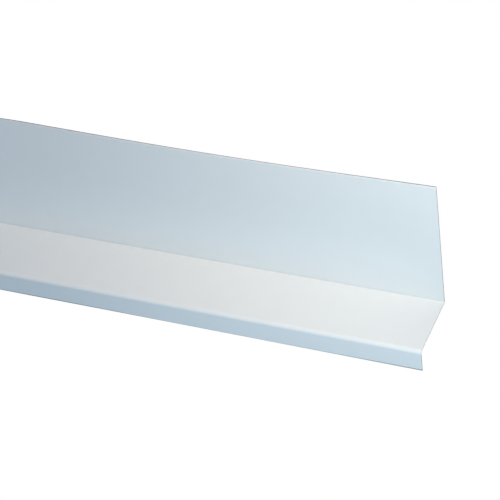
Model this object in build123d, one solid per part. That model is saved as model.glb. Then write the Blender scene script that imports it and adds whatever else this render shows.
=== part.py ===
from build123d import *
import math
import os

# Deck ledger flashing: one stick of white rigid vinyl with a Z-shaped section.
# A tall leg goes up the house wall, a shelf covers the top of the ledger board
# and falls a little outwards, and a short drip lip hangs in front of the board.
# The stick lies as it would on a floor, on the back of its leg: X runs along
# the stick, Y from the heel bend to the leg's free edge, Z away from the leg.
# The origin is on the floor, in the middle of the stick's length and width.

# Driving sizes, in millimetres and degrees. The three widths are measured
# along the middle of the sheet, between the sharp corners of its bends.
stock_length = 3048.0
leg_width = 114.3
shelf_width = 57.15
lip_width = 19.05
sheet_thickness = 1.0
shelf_fall = 5.0
heel_inner_radius = 0.5
nose_outer_radius = 3.5

# The bends, at the middle of the sheet.
half_sheet = sheet_thickness / 2
heel_radius = heel_inner_radius + half_sheet
nose_radius = nose_outer_radius - half_sheet

# How far the sloping shelf leans away from the leg and rises above it.
shelf_lean = shelf_width * math.sin(math.radians(shelf_fall))
shelf_rise = shelf_width * math.cos(math.radians(shelf_fall))

# Corners of the section in Y and Z. The lip is parallel to the leg, and the
# heel is placed so that the section's overall width is centred on Y = 0.
heel_y = (shelf_lean + lip_width - leg_width) / 2
nose_y = heel_y - shelf_lean
leg_z = half_sheet
lip_z = leg_z + shelf_rise
free_edge = (heel_y + leg_width, leg_z)
heel = (heel_y, leg_z)
nose = (nose_y, lip_z)
lip_edge = (nose_y - lip_width, lip_z)


def flashing_section():
    """The sheet's section: its middle line with both bends, given its thickness."""
    with BuildSketch(Plane.YZ) as section:
        with BuildLine():
            FilletPolyline(free_edge, heel, nose, lip_edge, radius=[heel_radius, nose_radius])
        trace(line_width=sheet_thickness)
    return section.sketch


def ledger_flashing():
    """The whole stick, cut square at both ends."""
    return extrude(flashing_section(), amount=stock_length / 2, both=True)


os.makedirs("parts", exist_ok=True)
export_step(ledger_flashing(), "parts/ledger_flashing.step")
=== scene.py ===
import math

import bpy
import numpy as np
from bpy.props import FloatProperty, FloatVectorProperty, PointerProperty
from mathutils import Matrix, Vector


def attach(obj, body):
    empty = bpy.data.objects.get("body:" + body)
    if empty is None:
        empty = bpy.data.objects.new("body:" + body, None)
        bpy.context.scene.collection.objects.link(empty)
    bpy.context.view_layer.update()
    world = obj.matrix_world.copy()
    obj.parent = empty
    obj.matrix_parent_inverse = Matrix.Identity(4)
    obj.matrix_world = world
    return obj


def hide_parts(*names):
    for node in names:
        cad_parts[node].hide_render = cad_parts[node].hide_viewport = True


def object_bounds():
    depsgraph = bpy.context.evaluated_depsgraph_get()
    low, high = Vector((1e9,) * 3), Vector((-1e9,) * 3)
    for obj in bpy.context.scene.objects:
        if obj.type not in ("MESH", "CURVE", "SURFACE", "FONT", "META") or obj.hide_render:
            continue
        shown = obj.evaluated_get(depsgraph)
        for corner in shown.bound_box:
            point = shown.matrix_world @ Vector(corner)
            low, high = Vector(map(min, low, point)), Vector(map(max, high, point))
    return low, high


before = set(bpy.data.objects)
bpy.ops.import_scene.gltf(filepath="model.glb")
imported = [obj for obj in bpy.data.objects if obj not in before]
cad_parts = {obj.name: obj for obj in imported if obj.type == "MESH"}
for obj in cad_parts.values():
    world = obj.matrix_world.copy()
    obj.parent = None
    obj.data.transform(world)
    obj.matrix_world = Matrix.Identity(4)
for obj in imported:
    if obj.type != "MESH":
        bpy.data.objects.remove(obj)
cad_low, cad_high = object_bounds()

bl_info = {
    "name": "Ledger Flashing",
    "version": (1, 0, 0),
    "blender": (4, 5, 0),
    "location": "3D View > Sidebar > Flashing",
    "description": "A stick of white vinyl deck ledger flashing, lying on its leg in a pale studio",
    "category": "Add Mesh",
}

NODE = "ledger_flashing"
BODY = "root"
MM = 0.001

# How finely the mesh follows the section: points on each curve, spacing on each flat, and how near
# its bends a flat has one more
CORNER_POINTS = 6
ROLL_POINTS = 6
HEEL_POINTS = 9
NOSE_POINTS = 15
BEVEL_POINTS = 4
LEG_STEP = 7 * MM
SHELF_STEP = 8 * MM
LIP_STEP = 6 * MM
BEND_MARGIN = 0.4 * MM

# Stations near each sawn end: how far in the even spacing starts and the last one before the bevel
# lies, and how far the cut face's own ring is inset
BODY_MARGIN = 2 * MM
BEVEL_MARGIN = 0.6 * MM
CUT_RING = 0.1 * MM

# Ease of the cusps between the free edge's bows, and how the bows' spacing and height change past
# the first one: by what share, and over what run in metres a radian
BOW_EASE = 0.2 * MM
SPACING_CHANGE = 0.10
SPACING_RUN = 0.55
HEIGHT_CHANGE = 0.38
HEIGHT_RUN = 0.41

# Runs of the lip's wander and of the slower change in its pace, in metres a radian
WANDER_RUN = 0.083
PACE_RUN = 0.31

# Share of the bevel, of the edge's round and of the lip's band of painted shadow that takes the cut
# material
CUT_BEVEL_SHARE = 0.5
CUT_ROUND_SHARE = 0.6
SHADE_BAND_SHARE = 1.01

# Range that nearly all of a noise texture's values lie in
NOISE_LOW = 0.3
NOISE_HIGH = 0.7

VINYL_IOR = 1.53

# Sides and rings of the round floor, and the radius of its innermost ring in metres
FLOOR_SIDES = 96
FLOOR_RINGS = 12
FLOOR_CORE = 0.5

SENSOR_WIDTH = 36
CLIP_START = 0.05
CLIP_END = 500

# Each softbox's name, its place and its aim from the heel at the seen end, and its sides, in metres
SOFTBOXES = (
    ("front", (0.15, 0.3, 0.22), (-0.15, 0, 0), (0.4, 0.4)),
    ("top", (0, 0, 0.45), (-0.15, 0, 0), (0.5, 0.5)),
    ("low", (-0.15, 0.45, 0.15), (-0.15, 0, 0), (0.3, 0.3)),
    ("along", (-2.1, 0.3, 0.25), (-2.1, 0, 0.02), (3.0, 0.15)),
    ("back", (-1.55, -0.8, 0.1), (-1.55, 0, 0.02), (3.7, 0.15)),
)


def srgb(code):
    """Turn an sRGB hex colour such as "E8ECEE" into linear red, green and blue."""
    value = np.array([int(code[i : i + 2], 16) for i in (0, 2, 4)]) / 255
    return tuple(np.where(value <= 0.04045, value / 12.92, ((value + 0.055) / 1.055) ** 2.4))


def length(name, description, default, **more):
    """A length in metres that the sidebar shows with its unit."""
    return FloatProperty(name=name, description=description, default=default, unit="LENGTH",
                         precision=5, **more)


def angle(name, description, degrees):
    """An angle, given here in degrees."""
    return FloatProperty(name=name, description=description, default=math.radians(degrees),
                         unit="ROTATION")


def share(name, description, default):
    """A share from 0 to 1."""
    return FloatProperty(name=name, description=description, default=default, min=0, max=1,
                         subtype="FACTOR")


def colour(name, description, code):
    """A colour, given here as sRGB hex."""
    return FloatVectorProperty(name=name, description=description, default=srgb(code),
                               subtype="COLOR", size=3, min=0, max=1)


def watts(name, description, default):
    """A lamp's power."""
    return FloatProperty(name=name, description=description, default=default, min=0, unit="POWER")


class FlashingSizes(bpy.types.PropertyGroup):
    """Section of the stick. The leg's and the shelf's widths follow from the frame."""

    sheet: length("Sheet", "Thickness of the vinyl", 1.0 * MM)
    lip: length("Lip", "Width of the drip lip along the middle of the sheet", 19.05 * MM)
    fall: angle("Shelf Fall", "How far the shelf falls away from the wall", 5)
    heel_radius: length("Heel Radius", "Inner radius of the bend between leg and shelf", 0.5 * MM)
    nose_radius: length("Nose Radius", "Outer radius of the bend between shelf and lip", 3.5 * MM)
    edge_radius: length("Edge Radius", "Round of the long edges, as the die leaves them", 0.3 * MM)
    cut_bevel: length("Cut Bevel", "Ease of the edges of the two sawn ends", 0.12 * MM)
    wave_height: length("Wave Height", "How high the leg's free edge bows off the floor", 3.4 * MM)
    wave_length: length("Wave Length", "From one touch of the free edge to the next", 370 * MM)
    roll_width: length("Roll Width", "How far in from the free edge the slitter rolled it over", 2.2 * MM)
    roll_drop: length("Roll Drop", "How far the rolled edge drops", 0.20 * MM)
    # The lip's shade band, its growth and its beat place a band of painted shadow along the lip's edge, in
    # the cut material's grey
    lip_shade_band: length("Lip Shade Band", "How far in the knife left the lip's edge dull", 0.6 * MM)
    shade_band_growth: length("Shade Band Growth", "How much wider that band is where the knife leaned in", 0.45 * MM)
    edge_shade_beat: length("Edge Shade Beat", "From one lean of the knife to the next", 330 * MM)
    lip_wave: length("Lip Wave", "How far the lip's edge wanders up and down", 0.25 * MM)
    station: length("Station", "Spacing of the mesh along the stick", 10 * MM)


class FlashingFinish(bpy.types.PropertyGroup):
    """Colour and surface of the vinyl."""

    vinyl: colour("Vinyl", "White of the extruded faces", "E4E9EB")
    roughness: share("Roughness", "Satin of the faces", 0.48)
    satin_gloss: share("Satin Gloss", "How much smoother the glossiest patches are", 0.05)
    satin_dulling: share("Satin Dulling", "How much rougher the dullest patches are", 0.06)
    haze: length("Haze", "Size of the cloudy patches in the satin", 18 * MM)
    haze_shade: share("Haze Shade", "How much of the white the cloudiest patches keep", 0.965)
    # The crease values set a line of painted shade in the leg beside the heel, for the shade in the crease
    crease_width: length("Crease Width", "Width of the shade line along the heel", 2.2 * MM)
    crease_offset: length("Crease Offset", "From the heel bend to the middle of that line", 0.5 * MM)
    crease_shade: share("Crease Shade", "How much light that line keeps", 0.90)
    die_line: length("Die Line", "Spacing of the faint lines along the stick", 2.2 * MM)
    die_run: length("Die Run", "How far one such line runs", 260 * MM)
    die_depth: length("Die Depth", "Depth of the die lines", 0.012 * MM)
    dish: length("Dish", "Size of the shallow waves in the flats", 55 * MM)
    dish_depth: length("Dish Depth", "Depth of those waves", 0.10 * MM)
    # The two cut greys and the share are painted shade, which draws each cut edge as a fine grey line, from
    # pale to dark along the stick
    cut_shade_dark: colour("Dark Cut Shade", "Grey where the saw or the knife dragged", "7E8488")
    cut_shade_pale: colour("Pale Cut Shade", "Paler grey where it cut clean", "DFE4E6")
    edge_shade_share: share("Edge Shade Share", "Share of that grey all along the slit edges", 0.72)
    cut_roughness: share("Cut Roughness", "Dullness of the cuts", 0.7)
    scratch: length("Scratch", "Spacing of the scratches on a cut", 0.25 * MM)
    scratch_run: length("Scratch Run", "How far one scratch runs", 6 * MM)
    scratch_depth: length("Scratch Depth", "Depth of the scratches", 0.03 * MM)
    scratch_slant: angle("Scratch Slant", "Slant of the scratches on the sawn ends", 35)


class FlashingStudio(bpy.types.PropertyGroup):
    """Floor, light and camera."""

    floor_radius: length("Floor Radius", "Radius of the round floor", 120.0)
    floor: colour("Floor", "Light of the floor, which is lit from below", "FFFFFF")
    sky: colour("Sky", "Colour of the light from all round", "A4CDFF")
    sky_strength: FloatProperty(name="Sky Strength", description="Light from all round",
                                default=0.277, min=0)
    front_power: watts("Front Power", "Softbox in front of the seen end", 1.06)
    front_tint: colour("Front Tint", "Colour of that softbox", "FFFFF7")
    top_power: watts("Top Power", "Softbox over the heel of the seen end", 0.92)
    top_tint: colour("Top Tint", "Colour of that softbox", "E5FDFF")
    low_power: watts("Low Power", "Low softbox that lights the shelf", 0.865)
    low_tint: colour("Low Tint", "Colour of that softbox", "FFDFBF")
    along_power: watts("Along Power", "Long softbox in front of the rest of the stick", 4.63)
    along_tint: colour("Along Tint", "Colour of that softbox", "FFF9EA")
    back_power: watts("Back Power", "Long low softbox behind the shelf", 11.3)
    back_tint: colour("Back Tint", "Colour of that softbox", "FAFFF8")
    aim_from_end: length("Aim From End", "Picture centre, from the seen end along the stick", 167.09 * MM)
    aim_from_heel: length("Aim From Heel", "Picture centre, from the heel across the leg", 19.33 * MM)
    distance: length("Distance", "Camera to picture centre", 1777.25 * MM)
    azimuth: angle("Azimuth", "Camera's place round the stick, from +X", 58.46)
    elevation: angle("Elevation", "Camera's height over the floor", 44.53)
    roll: angle("Roll", "Turn of the picture about the line of sight", 146.77)
    lens: FloatProperty(name="Lens", description="Focal length on a 36 mm sensor", default=156.11,
                        min=1, unit="CAMERA")


def spaced(low, high, step, margin):
    """Values from low to high about step apart, with one more just inside each end if there is room."""
    count = max(2, round((high - low) / step) + 1)
    inside = [low + margin, high - margin] if high - low > 4 * margin else []
    return np.unique(np.concatenate([np.linspace(low, high, count), inside]))


def middle_line(along, sizes, widths):
    """Place and heading of the sheet's middle line at distances along it from the free edge.

    The line runs straight down the leg, turns through the heel, runs straight over the shelf, turns
    back through the nose and ends straight in the lip. Between two samples the curvature is constant,
    so each step is a chord of length ds * sin(turn/2) / (turn/2) in the direction of the step's mean
    heading, which is exact on flats and arcs alike, and the places are the running sum of the chords.
    """
    turn = math.pi / 2 - sizes.fall
    heel_bend = sizes.heel_radius + sizes.sheet / 2
    nose_bend = sizes.nose_radius - sizes.sheet / 2
    starts = np.array(widths["bend_starts"])
    ends = starts + turn * np.array([heel_bend, nose_bend])
    heading = (
        math.pi
        - np.clip(along - starts[0], 0, ends[0] - starts[0]) / heel_bend
        + np.clip(along - starts[1], 0, ends[1] - starts[1]) / nose_bend
    )
    step, turned = np.diff(along), np.diff(heading)
    chord = step * np.sinc(turned / (2 * math.pi))
    mean = (heading[1:] + heading[:-1]) / 2
    y = widths["free_edge"] + np.concatenate([[0], np.cumsum(chord * np.cos(mean))])
    z = sizes.sheet / 2 + np.concatenate([[0], np.cumsum(chord * np.sin(mean))])
    return y, z, heading


def section_widths(sizes):
    """Lengths along the sheet's middle line that make the section fill the frame's box."""
    turn = math.pi / 2 - sizes.fall
    rise = cad_high.z - cad_low.z - sizes.sheet
    shelf = rise / math.cos(sizes.fall)
    leg = cad_high.y - cad_low.y - sizes.lip - rise * math.tan(sizes.fall)
    heel_bend = sizes.heel_radius + sizes.sheet / 2
    nose_bend = sizes.nose_radius - sizes.sheet / 2
    heel_cut, nose_cut = heel_bend * math.tan(turn / 2), nose_bend * math.tan(turn / 2)
    heel_start = leg - heel_cut
    nose_start = heel_start + turn * heel_bend + shelf - heel_cut - nose_cut
    total = nose_start + turn * nose_bend + sizes.lip - nose_cut
    return {
        "free_edge": cad_high.y,
        "heel": cad_high.y - leg,
        "bend_starts": (heel_start, nose_start),
        "bend_ends": (heel_start + turn * heel_bend, nose_start + turn * nose_bend),
        "total": total,
    }


def outline(sizes, widths):
    """Closed outline of the unrolled section: distance along the sheet, and height over its middle.

    It is a long rectangle with rounded corners. One face is sampled from the free edge to the lip's
    edge, samples less than a nanometre apart becoming one, and the other face is its mirror image
    back, so that point j faces point (count - 1 - j).
    """
    (heel_start, nose_start), (heel_end, nose_end) = widths["bend_starts"], widths["bend_ends"]
    total, half, round_off = widths["total"], sizes.sheet / 2, sizes.edge_radius
    rolled = round_off + sizes.roll_width
    flats = [
        np.linspace(round_off, rolled, ROLL_POINTS),
        spaced(rolled, heel_start, LEG_STEP, BEND_MARGIN),
        np.linspace(heel_start, heel_end, HEEL_POINTS),
        spaced(heel_end, nose_start, SHELF_STEP, BEND_MARGIN),
        np.linspace(nose_start, nose_end, NOSE_POINTS),
        spaced(nose_end, total - round_off, LIP_STEP, sizes.lip_shade_band - round_off),
    ]
    face = np.unique(np.round(np.concatenate(flats), decimals=9))
    corner = np.linspace(0, math.pi / 2, CORNER_POINTS)
    first = round_off * (1 - np.sin(corner[::-1]))
    rise = half - round_off * (1 - np.cos(corner[::-1]))
    along = np.concatenate([first[:-1], face, total - first[:-1][::-1]])
    above = np.concatenate([rise[:-1], np.full(len(face), half), rise[:-1][::-1]])
    return np.concatenate([along, along[::-1]]), np.concatenate([above, -above[::-1]])


def free_edge_lift(x, sizes):
    """Height of the leg's free edge over the floor along the stick.

    The edge bows up between touches: the size of a sine whose half wave is wave_length, starting
    from a touch at the seen end, with its cusps eased by sqrt(a^2 + e^2) - e. Past the first bow a
    slow second sine varies the height and spacing of the bows, as no two are alike.
    """
    from_end = cad_high.x - x
    past = np.clip(from_end - sizes.wave_length, 0, None)
    phase = math.pi * (from_end + SPACING_CHANGE * past * np.sin(past / SPACING_RUN)) / sizes.wave_length
    height = sizes.wave_height * (1 - HEIGHT_CHANGE * np.sin(past / HEIGHT_RUN) ** 2)
    return np.sqrt((height * np.sin(phase)) ** 2 + BOW_EASE**2) - BOW_EASE


def edge_shade_wave(x, sizes):
    """How much painted shade the cut edges carry along the stick, from 0 to 1.

    It is the fourth power of a cosine, so that it peaks once in each edge_shade_beat. It also widens
    the band of painted shadow along the lip's edge.
    """
    return np.cos(math.pi * (cad_high.x - x) / sizes.edge_shade_beat) ** 4


def cut_shade_amount(x, s, sizes, widths, edge_shade_share):
    """How much painted shade a cut carries at each point, from 0 for the pale grey to 1 for the dark grey.

    The long edges follow edge_shade_wave, from the share edge_shade_share up. On the sawn ends the leg
    and the lip's edge take the dark grey, and the shelf the pale grey.
    """
    # Painted shade: the cut grey's darkness along the stick, then across the section
    slit = edge_shade_share + (1 - edge_shade_share) * edge_shade_wave(x, sizes)
    shade_level = np.where(np.abs(x) > cad_high.x - sizes.cut_bevel, 1, slit)
    shelf = (widths["bend_starts"][0], widths["bend_ends"][0], widths["bend_starts"][1], widths["total"])
    return shade_level * np.interp(s, shelf, (1, 0, 0, 1))


def strip_points(sizes, widths):
    """Points of the whole stick, their distances along the sheet, and the outline's own distances.

    The points are stations along the stick by points round its section. A station is a place along
    the stick and an inset of the outline, which grows over the bevel of the cut and over the cut face
    itself. The section's point is its middle line plus its height over the sheet's middle along the
    normal. The inner side of the lip's band of painted shadow goes further in by shade_band_growth
    times edge_shade_wave.
    The leg is then lifted by the free edge's height times the square of the share of the leg's width
    from the heel, its last millimetres roll down by the square of the share of the roll's width, and
    the lip wanders by a slow sine times such a square.
    """
    along, above = outline(sizes, widths)
    bevel, total = sizes.cut_bevel, widths["total"]
    quarter = np.linspace(0, math.pi / 2, BEVEL_POINTS)
    end_x = np.concatenate([[-BEVEL_MARGIN], -bevel * (1 - np.sin(quarter)), [0]])
    end_inset = np.concatenate([[0], bevel * (1 - np.cos(quarter)), [bevel + CUT_RING]])
    body_x = spaced(cad_low.x + BODY_MARGIN, cad_high.x - BODY_MARGIN, sizes.station, MM)
    x = np.concatenate([cad_low.x - end_x[::-1], body_x, cad_high.x + end_x])
    inset = np.concatenate([end_inset[::-1], np.zeros(len(body_x)), end_inset])

    s = total / 2 + np.outer(1 - 2 * inset / total, along - total / 2)
    n = np.outer(1 - 2 * inset / sizes.sheet, above)
    # Painted shadow: the lip's band widens where edge_shade_wave peaks
    band_side = np.isclose(along, total - sizes.lip_shade_band)
    s[:, band_side] -= sizes.shade_band_growth * edge_shade_wave(x, sizes)[:, None]
    samples = np.concatenate([s.ravel(), widths["bend_starts"], widths["bend_ends"]])
    fine = np.unique(np.round(samples, decimals=12))
    line_y, line_z, heading = middle_line(fine, sizes, widths)
    head = np.interp(s, fine, heading)
    y = np.interp(s, fine, line_y) + n * np.sin(head)
    z = np.interp(s, fine, line_z) - n * np.cos(head)

    heel, nose = widths["bend_starts"][0], widths["bend_ends"][1]
    leg_share = np.clip((heel - s) / heel, 0, 1)
    roll_share = np.clip(1 - s / sizes.roll_width, 0, 1)
    lip_share = np.clip((s - nose) / (total - nose), 0, 1)
    wander = (1 + np.sin(x / WANDER_RUN + np.sin(x / PACE_RUN)))[:, None] / 2
    z += leg_share**2 * (free_edge_lift(x, sizes)[:, None] + sizes.roll_drop)
    z -= roll_share**2 * sizes.roll_drop
    z -= lip_share**2 * sizes.lip_wave * wander
    points = np.stack([np.broadcast_to(x[:, None], y.shape), y, z], axis=-1)
    return points, s, along


def strip_faces(rows, count):
    """Quads between neighbouring stations, closed round the section, and quads across both ends."""
    row = np.arange(rows - 1)[:, None] * count
    here = np.arange(count)[None, :]
    after = (here + 1) % count
    sides = np.stack([row + here, row + after, row + count + after, row + count + here], axis=-1)
    j = np.arange(count // 2 - 1)
    first = np.stack([j, count - 1 - j, count - 2 - j, j + 1], axis=-1)
    last = (rows - 1) * count + first[:, ::-1]
    return np.concatenate([sides.reshape(-1, 4), first, last])


def cut_faces(x, along, sizes, widths):
    """Which faces take the cut material, from the places of each face's corners along the stick and the
    sheet.

    They are those past the middle of the bevel of a sawn end and those on the outer part of the free
    edge's round, which a blade left, and those of the band of painted shadow along the lip's edge.
    """
    sawn = np.abs(x).min(axis=1) > cad_high.x - CUT_BEVEL_SHARE * sizes.cut_bevel
    free_edge = along.max(axis=1) < CUT_ROUND_SHARE * sizes.edge_radius
    # Painted shadow: a narrow band of the lip's face along its edge takes the cut material's grey
    lip_band = along.min(axis=1) > widths["total"] - SHADE_BAND_SHARE * sizes.lip_shade_band
    return sawn | free_edge | lip_band


def new_mesh(name, points, faces):
    """A mesh of quads with smooth shading, from arrays."""
    mesh = bpy.data.meshes.new(name)
    mesh.vertices.add(len(points))
    mesh.vertices.foreach_set("co", points.astype(np.float32).ravel())
    mesh.loops.add(faces.size)
    mesh.loops.foreach_set("vertex_index", faces.astype(np.int32).ravel())
    mesh.polygons.add(len(faces))
    mesh.polygons.foreach_set("loop_start", np.arange(0, faces.size, 4, dtype=np.int32))
    mesh.polygons.foreach_set("use_smooth", np.ones(len(faces), bool))
    mesh.update(calc_edges=True)
    mesh.validate()
    return mesh


def show(name, data, materials=()):
    """Link a new object to the scene, at the origin."""
    piece = bpy.data.objects.new(name, data)
    for material in materials:
        piece.data.materials.append(material)
    bpy.context.scene.collection.objects.link(piece)
    return piece


def add_node(tree, kind, settings=None, **inputs):
    """Add a node, set its properties, and set or link its inputs.

    An input is named with _ for a space, or with _ and its number where names repeat.
    """
    node = tree.nodes.new(kind)
    for name, value in (settings or {}).items():
        setattr(node, name, value)
    for name, value in inputs.items():
        socket = node.inputs[int(name[1:]) if name[1:].isdigit() else name.replace("_", " ")]
        if isinstance(value, bpy.types.NodeSocket):
            tree.links.new(value, socket)
        else:
            socket.default_value = value
    return node


def new_material(name):
    """An empty node material and its tree."""
    material = bpy.data.materials.new(name)
    material.use_nodes = True
    material.node_tree.nodes.clear()
    return material, material.node_tree


def extruded_vinyl(finish, heel):
    """Rigid vinyl, coloured through with white pigment and extruded through a polished die.

    The eye sees an even cool white with a satin sheen, faint straight lines along the stick where the
    die left them, shallow waves in the flats from cooling and a cloudy change in the satin. A fine grey
    line in the leg beside the heel is painted shade, standing in for the shade in the crease.
    """
    material, tree = new_material("extruded_white_vinyl")
    uv = add_node(tree, "ShaderNodeUVMap", {"uv_map": "unrolled"}).outputs["UV"]
    lines_at = add_node(tree, "ShaderNodeMapping", Vector=uv,
                        Scale=(1 / finish.die_run, 1 / finish.die_line, 1)).outputs[0]
    lines = add_node(tree, "ShaderNodeTexNoise", {"noise_dimensions": "2D"}, Vector=lines_at,
                     Scale=1, Detail=3, Roughness=0.6).outputs[0]
    dish = add_node(tree, "ShaderNodeTexNoise", {"noise_dimensions": "2D"}, Vector=uv,
                    Scale=1 / finish.dish, Detail=1, Roughness=0.4).outputs[0]
    haze = add_node(tree, "ShaderNodeTexNoise", {"noise_dimensions": "2D"}, Vector=uv,
                    Scale=1 / finish.haze, Detail=5, Roughness=0.62).outputs[0]
    satin = add_node(tree, "ShaderNodeMapRange", Value=haze, From_Min=NOISE_LOW, From_Max=NOISE_HIGH,
                     To_Min=finish.roughness - finish.satin_gloss,
                     To_Max=finish.roughness + finish.satin_dulling).outputs[0]
    clean = tuple(finish.vinyl) + (1,)
    dusty = tuple(finish.haze_shade * c for c in finish.vinyl) + (1,)
    tone = add_node(tree, "ShaderNodeMix", {"data_type": "RGBA"}, Factor=haze,
                    _6=clean, _7=dusty).outputs[2]
    across = add_node(tree, "ShaderNodeSeparateXYZ", Vector=uv).outputs["Y"]
    away = add_node(tree, "ShaderNodeMath", {"operation": "SUBTRACT"}, _0=across,
                    _1=heel - finish.crease_offset).outputs[0]
    gap = add_node(tree, "ShaderNodeMath", {"operation": "ABSOLUTE"}, _0=away).outputs[0]
    # Painted shade: the white darkens in a narrow line beside the heel, for the shade in the crease
    painted_crease_shade = add_node(tree, "ShaderNodeMapRange", {"interpolation_type": "SMOOTHSTEP"}, Value=gap,
                    From_Max=finish.crease_width / 2, To_Min=finish.crease_shade, To_Max=1).outputs[0]
    tone = add_node(tree, "ShaderNodeVectorMath", {"operation": "SCALE"}, _0=tone, Scale=painted_crease_shade).outputs[0]
    dished = add_node(tree, "ShaderNodeBump", Height=dish, Distance=finish.dish_depth, Strength=1)
    lined = add_node(tree, "ShaderNodeBump", Height=lines, Distance=finish.die_depth, Strength=1,
                     Normal=dished.outputs[0])
    shader = add_node(tree, "ShaderNodeBsdfPrincipled", Base_Color=tone, Roughness=satin,
                      IOR=VINYL_IOR, Normal=lined.outputs[0])
    add_node(tree, "ShaderNodeOutputMaterial", Surface=shader.outputs[0])
    return material


def cut_vinyl(finish):
    """The same vinyl where a fine-toothed blade sawed it across or a knife slit its long edges, and on a
    narrow band of the lip's face along its edge.

    It is duller, with close parallel scratches through the thickness. Its grey is painted shade, so that
    each edge shows as a fine grey line and the lip's band as a painted shadow, from pale to dark as the
    attribute shaded says.
    """
    material, tree = new_material("cut_white_vinyl")
    at = add_node(tree, "ShaderNodeTexCoord").outputs["Object"]
    tooth_marks = add_node(tree, "ShaderNodeMapping", Vector=at, Rotation=(finish.scratch_slant, 0, 0),
                           Scale=(1, 1 / finish.scratch, 1 / finish.scratch_run)).outputs[0]
    marks = add_node(tree, "ShaderNodeTexNoise", Vector=tooth_marks, Scale=1, Detail=2).outputs[0]
    cut = add_node(tree, "ShaderNodeBump", Height=marks, Distance=finish.scratch_depth, Strength=1)
    # Painted shade: the attribute mixes the pale and the dark grey that stand in for shade on the cuts
    dull = add_node(tree, "ShaderNodeAttribute", {"attribute_name": "dull"}).outputs["Fac"]
    grey = add_node(tree, "ShaderNodeMix", {"data_type": "RGBA"}, Factor=dull,
                    _6=tuple(finish.cut_shade_pale) + (1,), _7=tuple(finish.cut_shade_dark) + (1,)).outputs[2]
    shader = add_node(tree, "ShaderNodeBsdfPrincipled", Base_Color=grey,
                      Roughness=finish.cut_roughness, IOR=VINYL_IOR, Normal=cut.outputs[0])
    add_node(tree, "ShaderNodeOutputMaterial", Surface=shader.outputs[0])
    return material


class FLASHING_OT_strip(bpy.types.Operator):
    """Build the stick of flashing, one bent sheet with two sawn ends"""

    bl_idname = "flashing.strip"
    bl_label = "Flashing Strip"
    bl_options = {"REGISTER", "UNDO"}

    def execute(self, context):
        sizes, finish = context.scene.flashing_sizes, context.scene.flashing_finish
        widths = section_widths(sizes)
        points, s, along = strip_points(sizes, widths)
        x = points[..., 0]
        faces = strip_faces(*s.shape)
        mesh = new_mesh("ledger_flashing_strip", points.reshape(-1, 3), faces)

        uv = np.stack([x, s], axis=-1).reshape(-1, 2)[faces.ravel()]
        mesh.uv_layers.new(name="unrolled").data.foreach_set("uv", uv.astype(np.float32).ravel())
        across = np.broadcast_to(along, s.shape)
        cut = cut_faces(x.ravel()[faces], across.ravel()[faces], sizes, widths)
        mesh.polygons.foreach_set("material_index", cut.astype(np.int32))
        # Painted shade: how dark the cut grey is at each point
        dull = mesh.attributes.new("dull", "FLOAT", "POINT")
        shade_values = cut_shade_amount(x, s, sizes, widths, finish.edge_shade_share)
        dull.data.foreach_set("value", shade_values.astype(np.float32).ravel())

        materials = (extruded_vinyl(finish, widths["bend_starts"][0]), cut_vinyl(finish))
        strip = show("ledger_flashing_strip", mesh, materials)
        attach(strip, BODY)
        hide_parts(NODE)
        return {"FINISHED"}


def make_floor(studio):
    """A flat disc: rings of points at radii that grow by a constant factor, joined by quads.

    It is a white light table, which gives the plain white ground of the photograph. It is hidden from
    diffuse rays and isn't sampled as a lamp, so that it doesn't light the flashing from below: the
    photograph's shelf shows no such light.
    """
    turn = np.linspace(0, 2 * math.pi, FLOOR_SIDES, endpoint=False)
    radius = np.geomspace(FLOOR_CORE, studio.floor_radius, FLOOR_RINGS)
    ring = np.stack([np.outer(radius, np.cos(turn)), np.outer(radius, np.sin(turn))], axis=-1)
    flat = np.concatenate([ring, np.zeros(ring.shape[:2] + (1,))], axis=-1).reshape(-1, 3)
    points = np.concatenate([flat, [[0, 0, 0]]])
    row = np.arange(FLOOR_RINGS - 1)[:, None] * FLOOR_SIDES
    here = np.arange(FLOOR_SIDES)[None, :]
    after = (here + 1) % FLOOR_SIDES
    outer = row + FLOOR_SIDES
    faces = np.stack([row + here, outer + here, outer + after, row + after], axis=-1)
    rim = np.arange(0, FLOOR_SIDES, 2)
    centre = np.full(len(rim), len(points) - 1)
    core = np.stack([centre, rim, rim + 1, (rim + 2) % FLOOR_SIDES], axis=-1)

    material, tree = new_material("white_light_table")
    light = add_node(tree, "ShaderNodeEmission", Color=tuple(studio.floor) + (1,), Strength=1)
    add_node(tree, "ShaderNodeOutputMaterial", Surface=light.outputs[0])
    material.cycles.emission_sampling = "NONE"
    mesh = new_mesh("studio_floor", points, np.concatenate([faces.reshape(-1, 4), core]))
    floor = show("studio_floor", mesh, (material,))
    floor.visible_diffuse = False


def make_lamp(name, place, target, sides, power, tint):
    """A softbox that the camera doesn't see, turned to a point, its first side level."""
    lamp = bpy.data.lights.new(name, "AREA")
    lamp.shape, lamp.energy, lamp.color = "RECTANGLE", power, tint
    lamp.size, lamp.size_y = sides
    holder = show(name, lamp)
    back = (place - target).normalized()
    level = Vector((0, 0, 1)).cross(back).normalized()
    turn = Matrix((level, back.cross(level), back)).transposed().to_4x4()
    holder.matrix_world = Matrix.Translation(place) @ turn
    holder.visible_camera = False


def make_lamps(studio, heel):
    """Three softboxes round the seen end, and two long ones along the stick.

    They are placed from the heel at the seen end, and the long ones reach a little past the far end.
    """
    end = Vector((cad_high.x, heel, 0))
    for name, place, aim, sides in SOFTBOXES:
        power, tint = getattr(studio, name + "_power"), getattr(studio, name + "_tint")
        make_lamp(name + "_softbox", end + Vector(place), end + Vector(aim), sides, power, tint)


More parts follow.
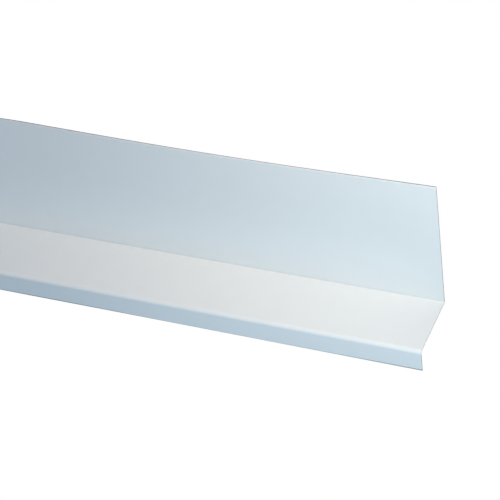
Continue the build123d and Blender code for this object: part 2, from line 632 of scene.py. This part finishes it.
def make_sky(studio):
    """Even cool light from all round. The camera sees it as white as the floor, with no horizon."""
    world = bpy.data.worlds.new("studio_sky")
    bpy.context.scene.world = world
    world.use_nodes = True
    world.node_tree.nodes.clear()
    tree = world.node_tree
    light = add_node(tree, "ShaderNodeBackground", Color=tuple(studio.sky) + (1,),
                     Strength=studio.sky_strength).outputs[0]
    seen = add_node(tree, "ShaderNodeBackground", Color=tuple(studio.floor) + (1,),
                    Strength=1).outputs[0]
    by_camera = add_node(tree, "ShaderNodeLightPath").outputs["Is Camera Ray"]
    sky = add_node(tree, "ShaderNodeMixShader", _0=by_camera, _1=light, _2=seen).outputs[0]
    add_node(tree, "ShaderNodeOutputWorld", Surface=sky)


def make_camera(studio, heel, sheet):
    """The camera, placed round the point of the leg's face that lies in the picture's centre."""
    aim = Vector((cad_high.x - studio.aim_from_end, heel + studio.aim_from_heel, sheet))
    flat = math.cos(studio.elevation)
    back = Vector((flat * math.cos(studio.azimuth), flat * math.sin(studio.azimuth),
                   math.sin(studio.elevation)))
    level_right = Vector((0, 0, 1)).cross(back).normalized()
    level_up = back.cross(level_right)
    up = math.cos(studio.roll) * level_up + math.sin(studio.roll) * level_right
    right = up.cross(back)
    lens = bpy.data.cameras.new("photo_camera")
    lens.lens, lens.sensor_width = studio.lens, SENSOR_WIDTH
    lens.clip_start, lens.clip_end = CLIP_START, CLIP_END
    camera = show("photo_camera", lens)
    turn = Matrix((right, up, back)).transposed().to_4x4()
    camera.matrix_world = Matrix.Translation(aim + studio.distance * back) @ turn
    bpy.context.scene.camera = camera


class FLASHING_OT_stage(bpy.types.Operator):
    """Set up the pale floor, the soft light and the camera"""

    bl_idname = "flashing.stage"
    bl_label = "Studio"
    bl_options = {"REGISTER", "UNDO"}

    def execute(self, context):
        sizes, studio = context.scene.flashing_sizes, context.scene.flashing_studio
        heel = section_widths(sizes)["heel"]
        make_floor(studio)
        make_sky(studio)
        make_lamps(studio, heel)
        make_camera(studio, heel, sizes.sheet)
        context.scene.view_settings.view_transform = "Standard"
        return {"FINISHED"}


class FLASHING_PT_panel(bpy.types.Panel):
    """Sidebar panel with the sizes, the finish and the studio"""

    bl_idname = "FLASHING_PT_panel"
    bl_label = "Ledger Flashing"
    bl_space_type = "VIEW_3D"
    bl_region_type = "UI"
    bl_category = "Flashing"

    def draw(self, context):
        for operator, group in (("flashing.strip", "flashing_sizes"), ("flashing.strip", "flashing_finish"),
                                ("flashing.stage", "flashing_studio")):
            box = self.layout.box()
            box.operator(operator)
            for name in getattr(context.scene, group).__annotations__:
                box.prop(getattr(context.scene, group), name)


CLASSES = (FlashingSizes, FlashingFinish, FlashingStudio, FLASHING_OT_strip, FLASHING_OT_stage,
           FLASHING_PT_panel)
GROUPS = {"flashing_sizes": FlashingSizes, "flashing_finish": FlashingFinish,
          "flashing_studio": FlashingStudio}


def register():
    for cls in CLASSES:
        bpy.utils.register_class(cls)
    for name, group in GROUPS.items():
        setattr(bpy.types.Scene, name, PointerProperty(type=group))


def unregister():
    for name in GROUPS:
        delattr(bpy.types.Scene, name)
    for cls in reversed(CLASSES):
        bpy.utils.unregister_class(cls)


def main():
    """Build everything in order."""
    register()
    bpy.ops.flashing.strip()
    bpy.ops.flashing.stage()


if __name__ == "__main__":
    main()
